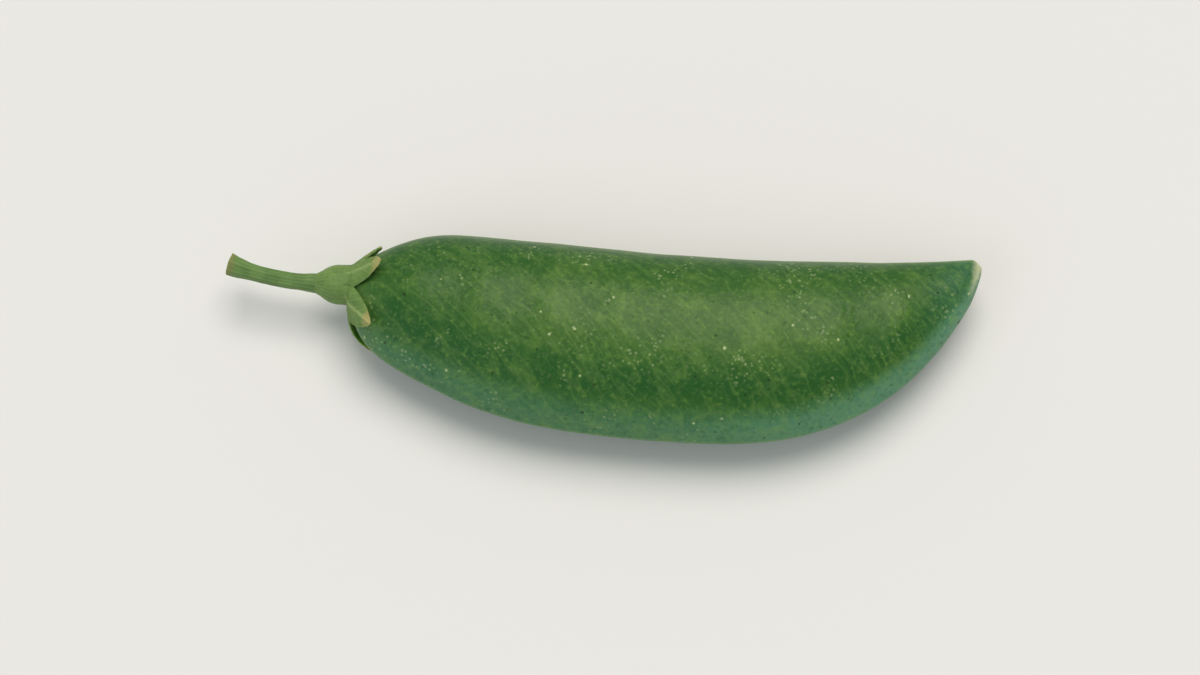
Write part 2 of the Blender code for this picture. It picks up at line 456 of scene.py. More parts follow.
# Pea pod epidermis: living skin under a film of its own wax. To the eye it is a satin green, olive and
# paler where the peas stretch it, with a little painted light in patches on its upper half. Painted shade
# darkens it towards the upper seam, towards the neck end and in a band low down, and a painted reflection
# of cool light, with some wax bloom, makes it bluish along the lower seam and over the beak. Pores 0.3 mm
# wide, pale corky specks, oblique veins and a cream scar at the beak break it up.
@dataclass(frozen=True)
class WaxySkin(Tissue):
    """The pod's waxed skin, which is satin, softly mottled and finely marked."""

    name: str = "pea_pod_waxed_skin"
    roughness: float = 0.42
    specular: float = 0.22
    coat: float = 0.05
    coat_roughness: float = 0.24
    mid: str = "#3b6624"
    olive: str = "#3e6420"
    sunny: str = "#7b9f46"
    # The deep green is the skin's own darker mottling, and also painted shade towards the upper seam, the
    # neck end and low down.
    deep: str = "#1b501d"
    # The rim colour is a painted reflection of cool light, with some wax bloom, along the lower seam and
    # over the beak.
    rim: str = "#6aa286"
    seam: str = "#203d12"
    lip: str = "#7f9f50"
    speck: str = "#b9c98e"
    pit: str = "#22360f"
    scuff: str = "#97ab78"
    scar: str = "#dcdcb2"
    dry: str = "#8a7440"
    patch_size: float = 13.0 * MM
    cloud_size: float = 4.5 * MM
    mottle_size: float = 1.7 * MM
    grain_size: float = 0.55 * MM
    vein_spacing: float = 1.6 * MM
    streak_spacing: float = 0.55 * MM
    stipple_spacing: float = 0.6 * MM
    speck_spacing: float = 2.8 * MM
    pore_spacing: float = 0.8 * MM
    pit_spacing: float = 2.6 * MM
    scuff_size: float = 1.6 * MM
    crowd_size: float = 5.0 * MM
    grain_depth: float = 0.07 * MM
    mottle_depth: float = 0.09 * MM
    raised_depth: float = 0.025 * MM
    pit_depth: float = 0.05 * MM

    def zones(self, tree: bpy.types.NodeTree, length: float) -> dict[str, Field]:
        """Where the skin's broad areas are.

        Args:
            tree: the material's tree.
            length: the pod's length, along which "along" runs.

        Returns:
            Each area's cover, from 0 to 1, by name.
        """
        names = ("along", "fall", "rise", "side", "pea")
        along, fall, rise, side, pea = (self.read(tree, name) for name in names)
        patches = self.noise(tree, self.patch_size, 1.3, 1.0)
        clouds = self.noise(tree, self.cloud_size, 4.1, 2.0)
        ragged = rise + (clouds - 0.5) * 1.0 * MM
        upper = (fall - rise).step(2.0 * MM, -2.0 * MM)
        front = along.step(0.45 * length, 0.85 * length)
        end = along + (clouds - 0.5) * 1.5 * MM
        return {
            "clouds": clouds,
            "high": (rise + (patches - 0.5) * 6.0 * MM).step(4.0 * MM, 10.0 * MM),
            "lit": patches.step(0.40, 0.75) * rise.step(5.0 * MM, 12.0 * MM),
            "stretched": pea * clouds.step(0.30, 0.65),
            "shade": clouds.step(0.50, 0.75),
            # Painted shade: the skin darkens towards the upper seam.
            "edge": fall.step(10.5 * MM, 0.5 * MM) * rise.step(1.0 * MM, 5.0 * MM),
            # Painted shade: a darker band low down, where the skin turns away from the light.
            "painted_low_shade": (ragged - 4.3 * MM).bell(2.5 * MM),
            # Painted reflection of cool light along the lower seam, stronger towards the beak, partly wax
            # bloom.
            "rim": ragged.step(2.9 * MM, 0.3 * MM) * (front * 0.45 + 0.45),
            "groove": side.bell(0.16 * MM) * upper,
            "lips": (side.math("ABSOLUTE") - 0.75 * MM).bell(0.35 * MM) * upper,
            "string": side.bell(0.22 * MM) * (1.0 - upper),
            "neck": along.step(8.0 * MM, 1.0 * MM),
            # Painted shade: the skin darkens towards the neck end.
            "shoulder": along.step(32.0 * MM, 10.0 * MM),
            # Painted reflection of cool light over the beak.
            "beak": end.step(length - 9.0 * MM, length - 1.5 * MM),
            "scar": end.step(length - 1.6 * MM, length - 0.5 * MM) * rise.step(0.3 * MM, 1.5 * MM),
            "stump": (along + (clouds - 0.5) * 0.2 * MM).step(length - 0.12 * MM, length - 0.05 * MM),
        }

    def marks(self, tree: bpy.types.NodeTree) -> dict[str, Field]:
        """The skin's fine marks.

        Args:
            tree: the material's tree.

        Returns:
            Each mark's cover, from 0 to 1, by name.
        """
        along, fall, side = (self.read(tree, name) for name in ("along", "fall", "side"))
        run, off = (along + fall) * math.sqrt(0.5), (fall - along) * math.sqrt(0.5)
        slanted, thinner = (run * 0.22, off, side * 0.5), (run * 0.12, off, side * 0.5)
        veins = (self.noise(tree, self.vein_spacing, 3.0, 1.0, slanted) - 0.5).bell(0.035)
        streaks = self.noise(tree, self.streak_spacing, 12.0, 1.0, thinner).step(0.5, 0.8)
        grain = self.noise(tree, self.grain_size, 2.7, 2.0)
        crowd = self.noise(tree, self.crowd_size, 9.0, 1.0).step(0.52, 0.66)
        worn = self.noise(tree, self.scuff_size, 6.0, 3.0, (along * 0.3, fall * 1.4, side))
        return {
            "grain": grain,
            "mottle": self.noise(tree, self.mottle_size, 5.5, 3.0),
            "veins": veins * fall.step(0.5 * MM, 3.0 * MM),
            "streaks": streaks,
            "stipple": self.dots(tree, self.stipple_spacing, 0.34, 5.0, grain) * (crowd * 0.85 + 0.15),
            "specks": self.dots(tree, self.speck_spacing, 0.085, 2.0, grain),
            "pores": self.dots(tree, self.pore_spacing, 0.20, 8.0, grain),
            "pits": self.dots(tree, self.pit_spacing, 0.075, 14.0, grain),
            "scuffs": worn.step(0.70, 0.78),
        }

    def make(self, length: float) -> bpy.types.Material:
        """Build the material.

        Args:
            length: the pod's length.

        Returns:
            The material.
        """
        material, tree = material_tree(self.name)
        zone, mark = self.zones(tree, length), self.marks(tree)
        grain, clouds = mark["grain"], zone["clouds"]
        layers = [
            (self.mid, None),
            (self.olive, zone["high"] * 0.60),
            (self.sunny, zone["lit"] * 0.10),
            (self.sunny, zone["stretched"] * 0.24),
            (self.deep, zone["shade"] * 0.20),
            # Painted shade towards the upper seam.
            (self.deep, zone["edge"] * 0.66),
            # Painted shade towards the neck end.
            (self.deep, zone["shoulder"] * 0.38),
            # Painted shade in a band low down.
            (self.deep, zone["painted_low_shade"] * 0.82),
            # Painted reflection of cool light along the lower seam, partly wax bloom.
            (self.rim, zone["rim"] * 0.66),
            # Painted reflection of cool light over the beak.
            (self.rim, zone["beak"] * 0.18),
            (self.sunny, mark["mottle"].step(0.50, 0.72) * 0.16),
            (self.deep, mark["mottle"].step(0.50, 0.30) * 0.18),
            (self.sunny, grain.step(0.52, 0.72) * 0.26),
            (self.deep, grain.step(0.48, 0.30) * 0.34),
            (self.lip, mark["veins"] * 0.13),
            (self.sunny, mark["streaks"] * 0.10),
            (self.speck, mark["stipple"] * 0.32),
            (self.pit, mark["pores"] * 0.35),
            (self.scuff, mark["scuffs"] * 0.30),
            (self.speck, mark["specks"] * 0.80),
            (self.pit, mark["pits"] * 0.80),
            (self.lip, zone["lips"] * 0.40),
            (self.seam, zone["groove"] * 0.85),
            (self.lip, zone["string"] * 0.35),
            (self.lip, zone["neck"] * 0.25),
            (self.scar, zone["scar"] * (grain * 0.8 + 0.2)),
            (self.dry, zone["stump"] * 0.70),
        ]
        shine = (grain - 0.5) * 0.16 + (clouds - 0.5) * 0.12 + mark["scuffs"] * 0.12 + self.roughness
        raised = mark["veins"] * 0.5 + mark["specks"]
        relief = [(grain, self.grain_depth), (mark["mottle"], self.mottle_depth),
                  (raised, self.raised_depth), (mark["pits"] + mark["pores"] * 0.4, -self.pit_depth)]
        self.dress(layers, tree, shine, relief)
        return material


# Sepal leaf: thin green leaf tissue without wax. To the eye it is matte and yellower than the pod, with a
# pale midrib and side veins about 1.7 mm apart, and withered to straw colour at its tips.
@dataclass(frozen=True)
class SepalLeaf(Tissue):
    """The calyx's leaf tissue, which is matte, veined and dry at its tips."""

    name: str = "pea_calyx_leaf"
    roughness: float = 0.62
    subsurface: float = 0.35
    fresh: str = "#6c8a44"
    shade: str = "#4b6d30"
    vein: str = "#97ac6b"
    dry: str = "#b3a468"
    spot: str = "#6d5a2c"
    cloud_size: float = 1.6 * MM
    grain_size: float = 0.35 * MM
    spot_spacing: float = 1.3 * MM
    vein_depth: float = 0.04 * MM
    grain_depth: float = 0.05 * MM

    def make(self) -> bpy.types.Material:
        """Build the material from the blade's own measures.

        Returns:
            The material.
        """
        material, tree = material_tree(self.name)
        blade, off, base = (self.read(tree, name) for name in ("blade", "off", "base"))
        turn = self.turn(tree)
        clouds = self.noise(tree, self.cloud_size, 3.0)
        fine = self.noise(tree, self.grain_size, 7.0, 2.0)
        midrib = off.bell(0.09) * blade.step(0.02, 0.2)
        waves = (off * 16.0 + blade * -24.0).math("SINE").step(0.75, 1.0)
        veins = waves * blade.step(0.05, 0.25) * 0.5
        withered = (blade + (clouds - 0.5) * 0.5).step(0.72, 0.98)
        lines = (turn * 25.0 + clouds * 3.0).math("SINE").step(0.3, 1.0) * (0.3 + base * 0.7)
        lines = lines * blade.step(0.12, 0.02)
        spots = self.dots(tree, self.spot_spacing, 0.13, 2.0, fine) * clouds.step(0.4, 0.6)
        layers = [
            (self.fresh, None),
            (self.shade, clouds.step(0.4, 0.7) * 0.5),
            (self.vein, midrib * 0.7),
            (self.vein, veins * 0.5),
            (self.vein, lines * 0.35),
            (self.shade, fine.step(0.5, 0.72) * 0.45),
            (self.dry, withered * 0.75),
            (self.spot, spots * 0.5),
        ]
        shine = (fine - 0.5) * 0.2 + self.roughness
        relief = [(veins + midrib + lines * 0.6, self.vein_depth), (fine, self.grain_depth)]
        self.dress(layers, tree, shine, relief)
        return material


# Stalk rind: the fibrous outside of a cut flower stalk. To the eye it is matte and streaked lengthwise by
# its ribs, dries to brown near the cut, and shows a pale pith with rays and a brown rim in the cut end.
@dataclass(frozen=True)
class StalkRind(Tissue):
    """The stalk's fibrous rind and the pale pith in its cut end."""

    name: str = "pea_stalk_rind"
    roughness: float = 0.55
    fresh: str = "#638541"
    shade: str = "#44642a"
    streak: str = "#889f5e"
    pith: str = "#c9cf9c"
    dry: str = "#8d7a48"
    cloud_size: float = 1.8 * MM
    streak_size: float = 0.3 * MM
    streak_stretch: float = 1.5 * MM
    streak_circle: float = 0.9 * MM
    rib_lines: float = 14.0
    relief_depth: float = 0.03 * MM

    def make(self) -> bpy.types.Material:
        """Build the material from the stalk's own measures.

        Returns:
            The material.
        """
        material, tree = material_tree(self.name)
        share, cut = self.read(tree, "share"), self.read(tree, "cut")
        turn = self.turn(tree)
        clouds = self.noise(tree, self.cloud_size, 3.0)
        lengthwise = (share * self.streak_stretch, turn.math("SINE") * self.streak_circle,
                      turn.math("COSINE") * self.streak_circle)
        fine = self.noise(tree, self.streak_size, 5.0, 2.0, lengthwise)
        ribs = (turn * self.rib_lines + clouds * 2.0).math("SINE").step(0.2, 1.0)
        drying = (share + (clouds - 0.5) * 0.2).step(0.88, 1.0)
        layers = [
            (self.fresh, None),
            (self.shade, clouds.step(0.4, 0.7) * 0.5),
            (self.streak, ribs * 0.35),
            (self.shade, fine.step(0.5, 0.7) * 0.35),
            (self.dry, drying * 0.5),
            (self.pith, cut * 0.85),
            (self.dry, cut * cut.step(0.0, 0.35) * cut.step(0.55, 0.3) * 0.8),
        ]
        shine = (fine - 0.5) * 0.15 + self.roughness
        self.dress(layers, tree, shine, [(ribs, self.relief_depth), (fine, self.relief_depth)])
        return material


def stand_for(piece: bpy.types.Object, node: Node) -> None:
    """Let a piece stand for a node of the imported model, and report it.

    Args:
        piece: the finished piece.
        node: the node that it replaces.
    """
    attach(piece, "root")
    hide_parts(node.value)
    LOG.info("%s: %d faces, for the node %s", piece.name, len(piece.data.polygons), node.value)


@dataclass
class Pod:
    """The fruit, from its neck to its beak, shaped along its two seams.

    Sizes are in metres. The other numbers are shares of the length or the depth, powers, and counts.
    """

    length: float = 74.0 * MM
    depth: float = 21.5 * MM
    thickness: float = 12.6 * MM
    neck_length: float = 1.8 * MM
    neck_width: float = 3.6 * MM
    beak_depth: float = 2.6 * MM
    beak_thickness: float = 1.8 * MM
    beak_round: float = 1.3 * MM
    beak_upturn: float = 1.0 * MM
    upturn_start: float = 0.82
    shoulder_rise: float = 4.6 * MM
    shoulder_end: float = 0.17
    seam_dip: float = 1.0 * MM
    dip_at_belly: float = 0.95
    seam_zone: tuple[float, float] = (0.3, 0.8)
    lower_groove: float = 0.6
    bulge_shift: float = 0.10
    ridge_height: float = 0.35 * MM
    ridge_width: float = 0.8 * MM
    groove_depth: float = 0.16 * MM
    groove_width: float = 0.2 * MM
    first_pea: float = 9.5 * MM
    pea_spacing: float = 7.9 * MM
    pea_count: int = 8
    pea_swell: float = 0.20 * MM
    pea_middle: float = 0.10
    pea_spread: float = 0.55
    pea_roundness: float = 1.3
    pea_drift: float = 0.25
    drift_size: float = 20.0 * MM
    wave_size: float = 9.0 * MM
    wave_height: float = 0.12 * MM
    dimple_size: float = 2.6 * MM
    dimple_height: float = 0.022 * MM
    rest_flat: float = 0.34 * MM
    depth_middle: float = 0.50
    depth_to_neck: tuple[float, float] = (3.4, 1.7)
    depth_to_beak: tuple[float, float] = (3.0, 1.22)
    thickness_middle: float = 0.44
    thickness_to_neck: tuple[float, float] = (2.6, 1.7)
    thickness_to_beak: tuple[float, float] = (2.2, 1.35)
    shoulder_power: float = 2.2
    dip_power: float = 1.5
    upturn_power: float = 1.8
    crowding: float = 0.24
    segments: int = 220
    stations: int = 380

    def falloff(self, share: Field, middle: float, to_neck: tuple[float, float],
                to_beak: tuple[float, float]) -> Field:
        """How full the pod is: 1 at its middle, falling as a superellipse to 0 at each end.

        Args:
            share: the place along the pod, from 0 to 1.
            middle: the share at which the pod is full.
            to_neck: the superellipse's power and root towards the neck.
            to_beak: the same towards the beak.

        Returns:
            The fullness, from 0 to 1.
        """
        behind = ((middle - share) / middle).math("MAXIMUM", 0.0)
        ahead = ((share - middle) / (1.0 - middle)).math("MAXIMUM", 0.0)
        near = (1.0 - behind ** to_neck[0]).math("MAXIMUM", 0.0) ** (1.0 / to_neck[1])
        return near * (1.0 - ahead ** to_beak[0]).math("MAXIMUM", 0.0) ** (1.0 / to_beak[1])

    def body(self, x: Field) -> tuple[Field, Field, Field]:
        """The pod's sizes at x.

        Args:
            x: the place along the pod, from the end of its neck.

        Returns:
            The depth, half the thickness and the height of the straight seam.
        """
        share = ((x - self.neck_length) / (self.length - self.neck_length)).math("MAXIMUM", 0.0)
        least = share * (self.beak_depth - self.neck_width) + self.neck_width
        full = self.falloff(share, self.depth_middle, self.depth_to_neck, self.depth_to_beak)
        depth = least + (self.depth - least) * full
        least = share * (self.beak_thickness - self.neck_width) + self.neck_width
        full = self.falloff(share, self.thickness_middle, self.thickness_to_neck, self.thickness_to_beak)
        half = (least + (self.thickness - least) * full) * 0.5
        rise = 1.0 - (1.0 - (share / self.shoulder_end).math("MINIMUM", 1.0)) ** self.shoulder_power
        beyond = (share - self.shoulder_end).math("MAXIMUM", 0.0) / (1.0 - self.shoulder_end)
        sag = (beyond * math.pi).math("SINE").math("MAXIMUM", 0.0) ** self.dip_power
        ending = (share - self.upturn_start).math("MAXIMUM", 0.0) / (1.0 - self.upturn_start)
        upturn = ending ** self.upturn_power * self.beak_upturn
        seam = rise * self.shoulder_rise - sag * self.seam_dip + upturn + 0.5 * self.neck_width
        return depth, half, seam

    def relief(self, rule: Rule) -> Field:
        """How far the finished skin stands off the plain form: seams, peas and slight unevenness.

        Args:
            rule: the pod's rule, whose points hold their measures.

        Returns:
            The height, in metres.
        """
        across, side, grown = (rule.read(name) for name in ("across", "side", "grown"))
        start, full = self.seam_zone
        upper, lower = across.step(start, full), across.step(-start, -full)
        ridge = side.bell(self.ridge_width) * self.ridge_height
        groove = side.bell(self.groove_width) * self.groove_depth
        seams = (ridge * (upper + lower) - groove * (upper + lower * self.lower_groove)) * grown
        peas = rule.read("pea") * self.pea_swell
        waves = rule.noise(self.wave_size, 7.0, 1.0) * self.wave_height
        dimples = rule.noise(self.dimple_size, 2.0, 2.0) * self.dimple_height
        return seams + peas + (waves + dimples) * grown

    def peas(self, rule: Rule, along: Field, across: Field) -> Field:
        """Where the peas inside press on the skin.

        Args:
            rule: the pod's rule.
            along: the place along the pod.
            across: the place between the lower seam, -1, and the upper one, 1.

        Returns:
            1 over the middle of a pea, and 0 between the peas and beyond the row.
        """
        drift = rule.noise(self.drift_size, 3.0) * self.pea_drift
        turn = (along - self.first_pea) / self.pea_spacing + drift
        row = turn.step(-0.9, 0.1) * turn.step(self.pea_count - 0.1, self.pea_count - 1.1)
        swell = ((turn * FULL_TURN).math("COSINE") * 0.5 + 0.5) ** self.pea_roundness
        return swell * (across - self.pea_middle).bell(self.pea_spread) * row

    def build(self, low: Vector, material: bpy.types.Material) -> bpy.types.Object:
        """Make the pod.

        Args:
            low: the lowest corner of the box that it fills.
            material: its finish.

        Returns:
            The pod's object.
        """
        rule = Rule("pod_rule")
        inputs = {"Segments": rule.given("Segments", self.segments, "NodeSocketInt"),
                  "Rings": rule.given("Stations", self.stations, "NodeSocketInt")}
        sphere, (ball_y, ball_z, ball_x) = rule.start("GeometryNodeMeshUVSphere", inputs)
        length = rule.given("Length", self.length)
        x = (ball_x + 1.0) * 0.5 * length
        angle = ball_y.math("ARCTAN2", ball_z)
        angle = angle + (angle * 2.0).math("SINE") * self.crowding
        across, outward = angle.math("SINE"), angle.math("COSINE")
        depth, half, seam = self.body(x)
        tip = ((x - (self.length - self.beak_round)) / self.beak_round).math("MAXIMUM", 0.0)
        blunt = (1.0 - tip * tip).math("MAXIMUM", 0.0) ** 0.5
        pole = (ball_x.math("ABSOLUTE") - 1.0).math("ABSOLUTE").math("GREATER_THAN", AT_POLE)
        across, outward = across * pole, outward * pole
        side = half * outward * blunt
        bulge = (1.0 - across * across) * self.bulge_shift
        y = seam - depth * 0.5 + depth * 0.5 * blunt * (across + bulge)
        grown = ((depth - self.neck_width) / self.depth).step(0.0, 0.8)
        numbers = {"along": x, "across": across, "side": side, "grown": grown,
                   "fall": (1.0 - across) * 0.5 * depth, "rise": (across + 1.0) * 0.5 * depth,
                   "pea": self.peas(rule, x, across)}
        shape = rule.move(rule.store(sphere.outputs[0], **numbers), x, y, side)
        shape = rule.raise_skin(shape, self.relief(rule))
        centre = self.neck(low)
        x, y, z = (part + shift for part, shift in zip(rule.here(), centre))
        shape = rule.move(shape, x, y, z.math("MAXIMUM", low.z))
        piece = rule.mesh("pod_skin", shape, material)
        stand_for(piece, Node.POD)
        return piece

    def neck(self, low: Vector) -> Vector:
        """The middle of the neck's end.

        Args:
            low: the lowest corner of the box that the pod fills.

        Returns:
            The point, from which the pod's own measures run.
        """
        drop = self.depth + self.ridge_height + self.seam_dip * self.dip_at_belly
        height = 0.5 * self.thickness - self.rest_flat
        return low + Vector((0.0, drop - self.shoulder_rise - 0.5 * self.neck_width, height))


@dataclass(frozen=True)
class Wall:
    """Where a point of the calyx's wall is, as numbers that the calyx's rule works out.

    angle is round the neck. outside is 1 on the outer face and 0 on the inner one. across runs from -1 to
    1 over a sepal, and chance is the sepal's random number. share is how far out the point is, of the
    reach that its sepal has there. dome and cap go from 0 to 1 towards the outer and the inner pole.
    """

    angle: Field
    outside: Field
    across: Field
    chance: Field
    share: Field
    reach: Field
    dome: Field
    cap: Field


@dataclass
class Calyx:
    """The cup that clasps the neck and its five sepals, as one wall of leaf tissue.

    The wall is a sphere led round the neck: its rings run from the stalk over the cup and out along the
    sepals' outer faces, then back along their inner faces and into the cup.
    """

    sepals: int = 5
    length: float = 6.4 * MM
    rim: float = 1.9 * MM
    uneven: float = 0.28
    thickness: float = 0.42 * MM
    edge_thickness: float = 0.12 * MM
    midrib: float = 0.22 * MM
    ripple: float = 0.3 * MM
    gap: float = 0.08 * MM
    lift: float = 1.5 * MM
    start: float = 0.7 * MM
    neck_radius: float = 1.8 * MM
    dome_length: float = 2.8 * MM
    collar: float = 1.08 * MM
    inner_depth: float = 0.25 * MM
    spread: float = 52.0
    segments: int = 300
    rings: int = 150
    dome_end: float = 0.20
    outer_end: float = 0.55
    inner_start: float = 0.93
    first_place: float = 0.25
    seed: float = 4.0
    outline_power: float = 1.25
    outline_taper: float = 0.35
    tip_thinning: float = 3.0
    side_thinning: float = 4.0
    midrib_width: float = 0.12
    least_lift: float = 0.4
    varied_lift: float = 0.9
    ripple_size: float = 2.4 * MM
    flare_power: float = 1.5
    dome_power: float = 40.0
    cap_power: float = 2.2
    cap_step: float = 4.0
    at_base: float = 1e-4

    def wall(self, rule: Rule, ring: Field, angle: Field) -> Wall:
        """Work out where on the wall each point is.

        Args:
            rule: the calyx's rule.
            ring: the point's place from the outer pole, 0, to the inner one, 1.
            angle: its angle round the neck.

        Returns:
            The place's numbers.
        """
        count = rule.given("Sepals", float(self.sepals))
        turn = (angle / FULL_TURN - self.first_place) * count
        nearest = (turn + 0.5).math("FLOOR")
        own = nearest.math("FLOORED_MODULO", count)
        random = add(rule.tree, "ShaderNodeTexWhiteNoise", {"noise_dimensions": "1D"},
                     {"W": own + self.seed})
        chance = Field(rule.tree, random.outputs["Value"])
        across = (turn - nearest) * 2.0
        off = across.math("ABSOLUTE")
        size = 1.0 + (chance - 0.5) * self.uneven
        outline = (1.0 - off ** self.outline_power) * (1.0 - off * self.outline_taper * off)
        reach = self.rim + (rule.given("Sepal length", self.length) * size - self.rim) * outline
        out = (ring - self.dome_end) / (self.outer_end - self.dome_end)
        back = (self.inner_start - ring) / (self.inner_start - self.outer_end)
        out, back = out.math("MAXIMUM", 0.0), back.math("MAXIMUM", 0.0)
        share = out.math("MINIMUM", 1.0).math("MINIMUM", back)
        dome = 1.0 - (ring / self.dome_end).math("MINIMUM", 1.0)
        cap = ((ring - self.inner_start) / (1.0 - self.inner_start)).math("MAXIMUM", 0.0)
        outside = ring.math("LESS_THAN", self.outer_end)
        return Wall(angle, outside, across, chance, share, reach, dome, cap)

    def on_pod(self, rule: Rule, wall: Wall, neck: Vector, pod: bpy.types.Object) -> list[Field]:
        """Lay the sepals along the pod's skin.

        Args:
            rule: the calyx's rule.
            wall: where on the wall each point is.
            neck: the middle of the neck's end.
            pod: the pod that they lie on.

        Returns:
            The x, y and z of each point as part of a sepal.
        """
        walked = wall.share * wall.reach
        slope = math.radians(self.spread)
        radius = walked * math.sin(slope) + self.neck_radius
        guess = [walked * math.cos(slope) + self.start + neck.x,
                 radius * wall.angle.math("SINE") + neck.y,
                 radius * wall.angle.math("COSINE") + neck.z]
        place = add(rule.tree, "ShaderNodeCombineXYZ", None, dict(enumerate(guess)))
        fruit = add(rule.tree, "GeometryNodeObjectInfo", None,
                    {0: rule.given("Pod", pod, "NodeSocketObject")})
        near = add(rule.tree, "GeometryNodeProximity", {"target_element": "FACES"},
                   {0: fruit.outputs["Geometry"], "Sample Position": place.outputs[0]})
        normal = add(rule.tree, "GeometryNodeInputNormal")
        facing = add(rule.tree, "GeometryNodeSampleNearestSurface", {"data_type": "FLOAT_VECTOR"},
                     {"Mesh": fruit.outputs["Geometry"], "Value": normal.outputs[0],
                      "Sample Position": near.outputs["Position"]})
        blade = walked / self.length
        off = wall.across.math("ABSOLUTE")
        thin_side = off ** self.side_thinning * wall.share
        thin = ((walked / wall.reach) ** self.tip_thinning).math("MAXIMUM", thin_side)
        thick = self.thickness - (self.thickness - self.edge_thickness) * thin
        widened = wall.across * (radius / self.neck_radius)
        midrib = widened.bell(self.midrib_width) * wall.share * self.midrib
        curl = blade * blade * (wall.chance * self.varied_lift + self.least_lift) * self.lift
        waves = rule.noise(self.ripple_size, 5.0) * blade * self.ripple
        stand = self.gap + curl + waves + wall.outside * (thick + midrib)
        skin, away = rule.parts(near.outputs["Position"]), rule.parts(facing.outputs[0])
        return [point + toward * stand for point, toward in zip(skin, away)]

    def base(self, wall: Wall, neck: Vector) -> list[Field]:
        """Shape the cup behind the sepals, which narrows outside to the stalk.

        Args:
            wall: where on the wall each point is.
            neck: the middle of the neck's end.

        Returns:
            The x, y and z of each point as part of the cup.
        """
        ball = self.neck_radius + self.gap + wall.outside * self.thickness
        flare = ((wall.dome ** self.flare_power * math.pi).math("COSINE") + 1.0) * 0.5
        bell = self.collar + flare * (ball - self.collar)
        bell = bell * (1.0 - wall.dome ** self.dome_power).math("MAXIMUM", 0.0) ** 0.5
        inner = ball * (1.0 - wall.cap ** self.cap_power).math("MAXIMUM", 0.0) ** 0.5
        radius = inner + wall.outside * (bell - inner)
        inward = (wall.cap * self.cap_step).math("MINIMUM", 1.0) * (self.start + self.inner_depth)
        x = neck.x + self.start - wall.dome * (self.dome_length + self.start) - inward
        return [x, radius * wall.angle.math("SINE") + neck.y, radius * wall.angle.math("COSINE") + neck.z]

    def build(self, neck: Vector, pod: bpy.types.Object, material: bpy.types.Material) -> bpy.types.Object:
        """Make the calyx against the pod's own skin.

        Args:
            neck: the middle of the neck's end.
            pod: the pod, whose shoulder the sepals lie on.
            material: its finish.

        Returns:
            The calyx's object.
        """
        rule = Rule("calyx_rule")
        inputs = {"Segments": rule.given("Segments", self.segments, "NodeSocketInt"),
                  "Rings": rule.given("Rings", self.rings, "NodeSocketInt")}
        sphere, (ball_z, ball_y, ball_x) = rule.start("GeometryNodeMeshUVSphere", inputs)
        ring = 1.0 - (ball_x * -1.0).math("ARCCOSINE") / math.pi
        wall = self.wall(rule, ring, ball_y.math("ARCTAN2", ball_z))
        closing = wall.dome.math("MAXIMUM", wall.cap)
        in_base = closing.math("GREATER_THAN", self.at_base)
        sepal, cup = self.on_pod(rule, wall, neck, pod), self.base(wall, neck)
        final = [on + (behind - on) * in_base for on, behind in zip(sepal, cup)]
        numbers = {"blade": wall.share * wall.reach / self.length, "base": closing,
                   "off": wall.across.math("ABSOLUTE"),
                   "turn_sine": wall.angle.math("SINE"), "turn_cosine": wall.angle.math("COSINE")}
        shape = rule.move(rule.store(sphere.outputs[0], **numbers), *final)
        piece = rule.mesh("sepal_cup", shape, material)
        stand_for(piece, Node.CALYX)
        return piece


@dataclass
class Stalk:
    """The cut stalk: a ribbed tube with a slight bend, which swells at both ends."""

    radius: float = 0.95 * MM
    root: float = 2.0 * MM
    bend: float = 1.6 * MM
    ribs: int = 7
    rib_height: float = 0.05
    root_swell: float = 0.18
    end_swell: float = 0.30
    dish: float = 0.35 * MM
    slant: float = 0.35 * MM
    slant_from: float = 1.03
    unevenness: float = 0.07 * MM
    uneven_size: float = 1.3 * MM
    cut_edge: float = 0.9
    end_reach: float = 0.35
    root_reach: tuple[float, float] = (0.05, 0.25)
    rib_start: tuple[float, float] = (0.12, 0.35)
    end_power: float = 8.0
    side_bend: float = 0.35
    sides: int = 84
    rings: int = 110
    cap_rings: int = 10

    def build(self, neck: Vector, low_x: float, material: bpy.types.Material) -> bpy.types.Object:
        """Make the stalk.

        Args:
            neck: the middle of the pod's neck end, behind which the stalk starts.
            low_x: where the stalk's cut end is.
            material: its finish.

        Returns:
            The stalk's object.
        """
        rule = Rule("stalk_rule")
        inputs = {"Vertices": rule.given("Sides", self.sides, "NodeSocketInt"),
                  "Side Segments": rule.given("Rings", self.rings, "NodeSocketInt"),
                  "Fill Segments": rule.given("Cap rings", self.cap_rings, "NodeSocketInt"),
                  "Radius": 1.0, "Depth": 1.0}
        tube, (flat_z, flat_y, high) = rule.start("GeometryNodeMeshCylinder", inputs)
        share = high + 0.5
        turn = flat_y.math("ARCTAN2", flat_z)
        out = (flat_y * flat_y + flat_z * flat_z).math("MAXIMUM", AT_POLE ** 2) ** 0.5
        cut = Field(rule.tree, tube.outputs["Top"]) * out.step(1.0, self.cut_edge)
        wave = (turn * float(self.ribs)).math("COSINE") * self.rib_height
        swell = (1.0 - share).step(self.end_reach, 0.0) * self.end_swell
        swell = swell + share.step(self.root_reach[1], self.root_reach[0]) * self.root_swell
        thick = rule.given("Radius", self.radius) * (1.0 + swell + wave * share.step(*self.rib_start))
        start_x = neck.x - self.root
        run = start_x - low_x
        dish = (1.0 - out * out) * cut * self.dish
        slant = (flat_y + self.slant_from) * share ** self.end_power * self.slant
        x = start_x - share * run + dish + slant
        lift = share * share * self.bend
        y = lift + flat_y * thick + neck.y
        z = lift * self.side_bend + flat_z * thick + neck.z
        shape = rule.store(tube.outputs[0], share=share, cut=cut, turn_sine=flat_y, turn_cosine=flat_z)
        shape = rule.move(shape, x, y, z)
        shape = rule.raise_skin(shape, rule.noise(self.uneven_size, 4.0) * self.unevenness)
        piece = rule.mesh("cut_stalk", shape, material)
        stand_for(piece, Node.STEM)
        return piece


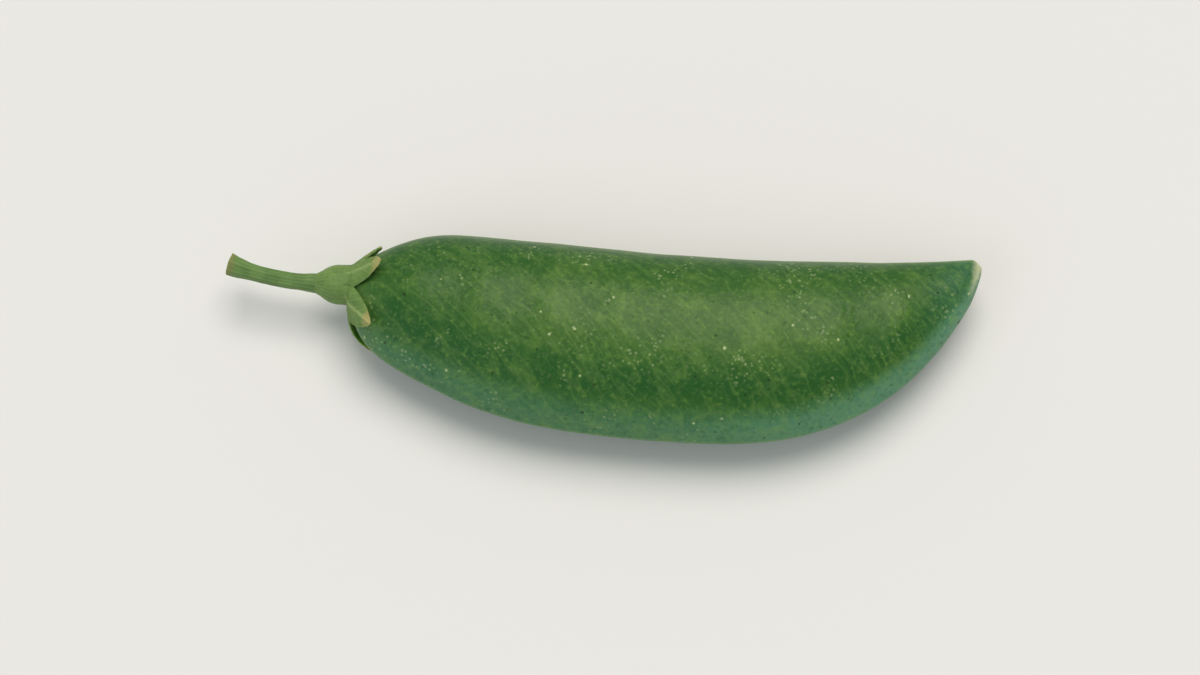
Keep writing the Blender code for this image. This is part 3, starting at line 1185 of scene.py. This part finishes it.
@dataclass(frozen=True)
class SoftLight:
    """A wide, far-off soft light, which lights the whole floor evenly.

    toward is the direction from the object to it, spread how wide it looks from there in degrees, and
    strength what it throws on a surface that faces it, in watts per square metre.
    """

    name: str
    toward: tuple[float, float, float]
    spread: float
    strength: float
    colour: str

    def build(self) -> None:
        """Add the light to the scene."""
        data = bpy.data.lights.new(self.name, "SUN")
        data.angle, data.energy = math.radians(self.spread), self.strength
        data.color = linear(self.colour)[:3]
        lamp = bpy.data.objects.new(self.name, data)
        lamp.location = self.toward
        lamp.rotation_euler = (-Vector(self.toward)).to_track_quat("-Z", "Y").to_euler()
        bpy.context.scene.collection.objects.link(lamp)


@dataclass(frozen=True)
class Studio:
    """The pale floor, the soft light and the camera, which looks down from the pod's belly side."""

    floor_size: float = 8.0
    floor_colour: str = "#e4e2dd"
    floor_roughness: float = 0.7
    key: SoftLight = SoftLight("key", (0.04, 0.21, 0.47), 42.0, 1.92, "#fffaf3")
    fill: SoftLight = SoftLight("fill", (-0.30, -0.30, 0.30), 48.0, 0.5, "#dcebff")
    room_colour: str = "#eef1f3"
    room_strength: float = 0.50
    azimuth: float = 3.4
    elevation: float = 74.0
    distance: float = 0.42
    lens: float = 110.0

    def floor(self) -> None:
        """Lay the floor."""
        bpy.ops.mesh.primitive_plane_add(size=self.floor_size)
        plane = bpy.context.object
        plane.name = "floor"
        material, tree = material_tree("pale_painted_board")
        shader = tree.nodes["Principled BSDF"]
        shader.inputs["Base Color"].default_value = linear(self.floor_colour)
        shader.inputs["Roughness"].default_value = self.floor_roughness
        plane.data.materials.append(material)

    def room(self) -> None:
        """Fill the room with even light."""
        world = bpy.data.worlds.new("soft_room")
        world.use_nodes = True
        sky = world.node_tree.nodes["Background"]
        sky.inputs["Color"].default_value = linear(self.room_colour)
        sky.inputs["Strength"].default_value = self.room_strength
        bpy.context.scene.world = world
        bpy.context.scene.view_settings.view_transform = "Standard"

    def camera(self, centre: Vector) -> None:
        """Place the camera.

        Args:
            centre: the point that it looks at.
        """
        turn, tilt = math.radians(self.azimuth), math.radians(self.elevation)
        back = Vector((math.sin(turn) * math.cos(tilt), -math.cos(turn) * math.cos(tilt), math.sin(tilt)))
        data = bpy.data.cameras.new("camera")
        data.lens = self.lens
        camera = bpy.data.objects.new("camera", data)
        camera.location = centre + back * self.distance
        camera.rotation_euler = (-back).to_track_quat("-Z", "Y").to_euler()
        bpy.context.scene.collection.objects.link(camera)
        bpy.context.scene.camera = camera

    def build(self, centre: Vector) -> None:
        """Set everything up.

        Args:
            centre: the middle of the object.
        """
        self.floor()
        self.key.build()
        self.fill.build()
        self.room()
        self.camera(centre)


def main() -> None:
    """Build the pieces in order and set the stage."""
    logging.basicConfig(level=logging.INFO, format="%(message)s")
    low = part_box(Node.POD.value)[0]
    pod = Pod()
    neck = pod.neck(low)
    fruit = pod.build(low, WaxySkin().make(pod.length))
    Calyx().build(neck, fruit, SepalLeaf().make())
    Stalk().build(neck, cad_box[0].x, StalkRind().make())
    Studio().build((cad_box[0] + cad_box[1]) * 0.5)


if __name__ == "__main__":
    main()
